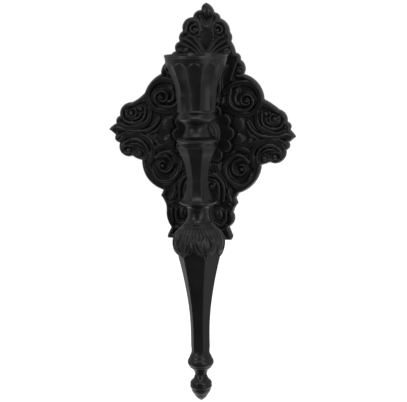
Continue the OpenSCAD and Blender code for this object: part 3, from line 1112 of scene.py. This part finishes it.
    def make_shaft(self) -> None:
        """Long six-sided taper under the leaves."""
        self.make_column(
            "six_sided_shaft",
            "hex_shaft",
            ((23.4, -134, 0), (22.4, -141, 0), (21.9, -144, -0.011), (13.3, -192, -0.016),
             (10.15, -236, -0.004), (10.3, -254, -0.1), (12.9, -263, -0.02), (14.0, -266, 0)),
            6,
            self.hexagon_first_deg,
            ((-266, -262, -257, -250, -120), (1, 0.9, 0.4, 0, 0)),
            0.8,
        )

    def make_bulb(self) -> None:
        """Gadrooned bulb whose leaves end in points over the corners of the shaft."""
        rim, inner, fold, hem = 18.6, 23.5, -129.0, -141.4
        side = outline(((rim, -102, 0), (18.6, -103.2, 0.25), (20.4, -105.2, 0.02), (26.6, -111, 0.04),
                        (30.4, -119, 0.03), (31, -126, 0.03), (29.6, -133, 0.03), (26.2, hem, 0)), 12)
        heights = [z for _, z in reversed(side)]
        radii = [r for r, _ in reversed(side)]
        profile = [(0.0, -102.0), *refined(side, 0.5), (inner, hem), (inner, fold), (0.0, fold)]
        bulb = lathe("leaf_bulb_casting", profile, 12 * self.ribs)
        co = points_of(bulb)
        angle, radius, height = np.arctan2(co[:, 1], co[:, 0]), np.hypot(co[:, 0], co[:, 1]), co[:, 2].copy()
        tip = self.hexagon_first_deg + 30
        away = np.abs(around(angle, self.leaves, tip)) / (math.pi / self.leaves)
        # the skirt ends in a point on each leaf, with two small scallops between neighbours
        lower = hem + 10.2 * away**0.72 - 1.5 * np.abs(np.sin((away - 0.32) / 0.68 * math.pi)) * (away > 0.32)
        share = np.clip((height - fold) / (hem - fold), 0, 1)
        new_height = np.where(height < fold, fold + share * (lower - fold), height)
        side_r = np.interp(new_height, heights, radii)
        wall = np.abs(radius - np.interp(height, heights, radii)) < 0.5
        width = side_r * math.pi / self.leaves
        skin = smoothstep(-104.5, -108, new_height)
        ribs = self.rib_depth * (np.abs(np.cos(around(angle, self.ribs, tip) * self.ribs / 2)) - 1)
        ribs *= smoothstep(-104.5, -109, new_height) * (1 - smoothstep(-122, -135, new_height))
        seam = np.exp(-(((1 - away) * width / 1.2) ** 2)) * smoothstep(-108, -124, new_height)
        # every leaf has a sunk tongue inside two raised borders
        narrowing = 1 - 0.5 * smoothstep(-124, -112, new_height)
        tongue = np.sqrt(np.clip((new_height + 134.5) / 9, 0, 1)) * 0.38 * narrowing
        inside = smoothstep(-110, -119, new_height)
        sunk = smoothstep(0.06, -0.06, away - tongue) * inside
        border = np.exp(-(((away - tongue - 0.13) * width / 1.1) ** 2)) * inside
        outer_border = np.exp(-(((away - 1.25 * tongue - 0.36) * width / 1.1) ** 2)) * inside
        ribs *= 1 - np.maximum(0.8 * sunk, np.maximum(border, 0.8 * outer_border))
        raised = self.border_height * (border + outer_border) * (new_height > -139)
        outer = side_r + skin * (ribs - self.seam_depth * seam - self.tongue_depth * sunk + raised)
        new_radius = np.where(wall, outer, radius)
        co[:, 0], co[:, 1], co[:, 2] = new_radius * np.cos(angle), new_radius * np.sin(angle), new_height
        set_points(bulb, co)
        self.hand_over(bulb, "leaf_bulb", 40)

    def make(self) -> None:
        """Model every section from the cup down to the finial."""
        self.make_cup()
        self.turned(
            "collar_ring_casting",
            ((22.8, 33.6, 0), (23.2, 32.8, 0.2), (23.2, 30.8, 0), (21.6, 29.4, 0), (21.8, 28, 0),
             (23.6, 25.2, 0.2), (23.4, 22.6, 0), (20.8, 20, 0)),
            "collar_ring",
        )
        self.turned(
            "neck_casting",
            ((20.4, 20, 0), (15.6, 16.8, -0.06), (14.2, 11.6, -0.07), (18.4, 2.2, -0.02), (23.6, -0.4, 0),
             (24.5, -1.2, 0.3), (24.5, -3.6, 0), (22.9, -4.6, 0), (22.7, -9.6, 0), (22.2, -9.8, 0)),
            "neck_spool",
        )
        self.make_baluster()
        self.turned(
            "lower_neck_casting",
            ((13, -83.6, -0.05), (12.5, -91.4, -0.05), (13.6, -96.1, -0.06), (17.4, -100.8, 0),
             (17.4, -102, 0)),
            "lower_neck",
        )
        self.make_bulb()
        self.make_shaft()
        self.turned(
            "finial_collar_casting",
            ((14.0, -266, 0.19), (13.9, -275.7, 0)),
            "finial_collar",
        )
        self.turned(
            "acorn_finial",
            ((13.7, -275.9, 0), (13.2, -277, 0), (10.2, -279.6, -0.1), (7.6, -284.6, -0.2),
             (7.7, -287.6, -0.1), (11.4, -293.6, 0.15), (12.9, -298.6, 0.12), (12.7, -302.4, 0),
             (12.2, -303, 0), (11.9, -304.6, 0.06), (8.4, -311, 0.08), (2.2, -317.8, 0.2), (0, -318.4, 0)),
            "finial",
        )


@dataclass
class Arm:
    """Turned arm between the rosette and the neck of the torch."""

    shop: Workshop
    seat: float = 35.3

    def make(self) -> None:
        """Turn the arm with its stepped rings and lay it along the wall's normal."""
        points = outline(((14.6, 15.5, 0), (14.6, 17.0, 0.3), (13.4, 17.9, 0), (12, 18.1, 0), (12, 19.4, 0.3),
                          (10.8, 20.3, 0), (9.6, 20.5, 0), (8.2, 23.0, -0.1), (8, self.seat, 0)), 5)
        sleeve = lathe("arm_turning", [(0.0, 15.5), *points, (0.0, self.seat)], 96)
        Torch.soften(sleeve, 0.3)
        lay = Matrix.Rotation(math.pi / 2, 4, "X")
        self.shop.finish(sleeve, Body.PLATE, Slot.ENAMEL, "arm_sleeve", place=lay)
        low = self.seat
        boss = lathe("arm_boss", [(0.0, low), (8.6, low), (9.0, low + 0.4), (9.0, 53.0), (0.0, 53.0)], 96)
        self.shop.finish(boss, Body.TORCH, Slot.ENAMEL, place=lay)


@dataclass
class CandleInsert:
    """Drip pan with the candle socket, which lift out of the cup."""

    shop: Workshop

    def make(self) -> None:
        """Model the pan and the socket."""
        place = self.shop.torch_place()
        pan = lathe(
            "brass_drip_pan",
            [(0.0, 69.0), (19, 69), (22, 71), (25, 77), (27.3, 80.2), (27.5, 80.7), (27.2, 81.0),
             (26.6, 80.9), (23.9, 77.6), (21.2, 72), (18.6, 70.2), (0.0, 70.2)],
            128,
        )
        Torch.soften(pan, 0.2)
        self.shop.finish(pan, Body.INSERT, Slot.BRASS, "drip_pan", place=place)
        socket = lathe(
            "brass_candle_socket",
            [(0.0, 70.25), (12.2, 70.25), (12.2, 89.6), (12.9, 90.3), (13.4, 90.6), (13.4, 91.1),
             (13.0, 91.4), (11.6, 91.4), (11.2, 91.0), (11.2, 71.5), (3.5, 71.5), (3.5, 70.7), (0.0, 70.7)],
            96,
        )
        Torch.soften(socket, 0.15)
        self.shop.finish(socket, Body.INSERT, Slot.BRASS, "candle_socket", place=place)


# ----------------------------------------------------------------------------------------------- stage


@dataclass(frozen=True)
class Studio:
    """Pale floor, soft lights and the camera."""

    azimuth_deg: float = 8.5
    elevation_deg: float = 9.0
    distance: float = 1.690
    roll_deg: float = 1.6
    aim: tuple[float, float, float] = (0.00266, -0.01277, -0.08224)
    lens: float = 122.6

    def camera(self) -> None:
        """Set the camera at its viewing angle, a long lens far away."""
        az, el = math.radians(self.azimuth_deg), math.radians(self.elevation_deg)
        back = Vector((math.sin(az) * math.cos(el), -math.cos(az) * math.cos(el), math.sin(el)))
        data = bpy.data.cameras.new("camera")
        data.lens = self.lens
        data.sensor_width = 36.0
        obj = bpy.data.objects.new("camera", data)
        bpy.context.scene.collection.objects.link(obj)
        obj.location = Vector(self.aim) + back * self.distance
        look = back.to_track_quat("Z", "Y").to_matrix().to_4x4()
        roll = Matrix.Rotation(math.radians(self.roll_deg), 4, "Z")
        obj.matrix_world = Matrix.Translation(obj.location) @ look @ roll
        bpy.context.scene.camera = obj

    @staticmethod
    def light(name: str, power: float, size: Point, place: tuple, target: tuple = (0, 0, -0.08)) -> None:
        """Add one soft box that faces the object.

        Args:
            name: name of the light.
            power: its power in watts.
            size: width and height in metres.
            place: where it stands.
            target: what it faces.
        """
        data = bpy.data.lights.new(name, "AREA")
        data.shape = "RECTANGLE"
        data.energy, data.size, data.size_y = power, size[0], size[1]
        obj = bpy.data.objects.new(name, data)
        bpy.context.scene.collection.objects.link(obj)
        obj.location = place
        obj.rotation_euler = (Vector(place) - Vector(target)).to_track_quat("Z", "Y").to_euler()

    def floor(self) -> None:
        """Lay a plain white sheet well below and behind the object."""
        deselect_all()
        bpy.ops.mesh.primitive_plane_add(size=1, location=(0, 5.8, -1.2))
        sheet = bpy.context.object
        sheet.scale = (2.4, 12, 1)
        bpy.ops.object.transform_apply(location=True, rotation=True, scale=True)
        sheet.name = "floor"
        material = bpy.data.materials.new("white paper sweep")
        material.use_nodes = True
        shader = material.node_tree.nodes["Principled BSDF"]
        shader.inputs["Base Color"].default_value = srgb("f4f4f4")
        shader.inputs["Roughness"].default_value = 0.9
        shader.inputs["Emission Color"].default_value = (1, 1, 1, 1)
        shader.inputs["Emission Strength"].default_value = 0.9
        sheet.data.materials.append(material)

    def world(self) -> None:
        """Set a white room that is darker on the camera's side."""
        world = bpy.data.worlds.new("studio")
        bpy.context.scene.world = world
        world.use_nodes = True
        tree = world.node_tree
        place = add_node(tree, "TexCoord").outputs["Generated"]
        parts = add_node(tree, "SeparateXYZ", links={"Vector": place})
        depth = add_node(tree, "MapRange", {"From Min": -1.0, "From Max": 1.0}, {"Value": parts.outputs["Y"]})
        greys = ((0.0, 0.11), (0.2, 0.12), (0.38, 0.25), (0.5, 0.48), (0.75, 0.39), (1.0, 0.5))
        room = add_node(tree, "ValToRGB", links={"Fac": depth.outputs["Result"]}, stops=greys)
        seen = add_node(tree, "LightPath").outputs["Is Camera Ray"]
        links = {0: seen, 6: room.outputs["Color"]}
        mixed = add_node(tree, "Mix", {7: (1, 1, 1, 1)}, links, data_type="RGBA")
        tree.links.new(mixed.outputs[2], tree.nodes["Background"].inputs["Color"])
        tree.nodes["Background"].inputs["Strength"].default_value = 1.0

    def make(self) -> None:
        """Set the whole stage."""
        scene = bpy.context.scene
        scene.view_settings.view_transform = "Standard"
        self.camera()
        self.floor()
        self.world()
        self.light("left softbox", 4.5, (0.25, 0.9), (-1.20, -1.33, 0.35))
        self.light("right softbox", 4.0, (0.22, 0.9), (0.90, -1.56, 0.45))
        self.light("top softbox", 5.0, (1.4, 0.6), (0.0, -0.9, 1.3))
        self.light("right fill", 4.0, (0.9, 1.2), (1.5, -1.3, -0.25))


def torch_turn_deg() -> float:
    """Return the turn of the torch about the arm, from the lift joint's axis in the record."""
    joints = {joint["name"]: joint for joint in frame["record"]["behaviour"]["joints"]}
    x, _, z = joints["insert_lift"]["axis"]
    return math.degrees(math.atan2(-x, z))


def main() -> None:
    """Build every piece, then the stage."""
    logging.basicConfig(level=logging.INFO, format="%(message)s")
    nut_low, nut_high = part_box("rod_nut")
    shop = Workshop(torch_turn_deg(), (nut_low[1] + nut_high[1]) / 2 / MM)
    shop.mix_finishes()
    Studio().make()
    WallPlate(shop).make()
    Arm(shop).make()
    Torch(shop).make()
    CandleInsert(shop).make()
    hardware = ("hanger_strip", "hanger_screws", "arm_washer", "arm_bolt", "lock_washer")
    for node in (*hardware, "tie_rod", "rod_washer", "rod_nut"):
        shop.dress_node(node, Slot.STEEL)
    shop.dress_node("socket_rivet", Slot.BRASS)


if __name__ == "__main__":
    main()
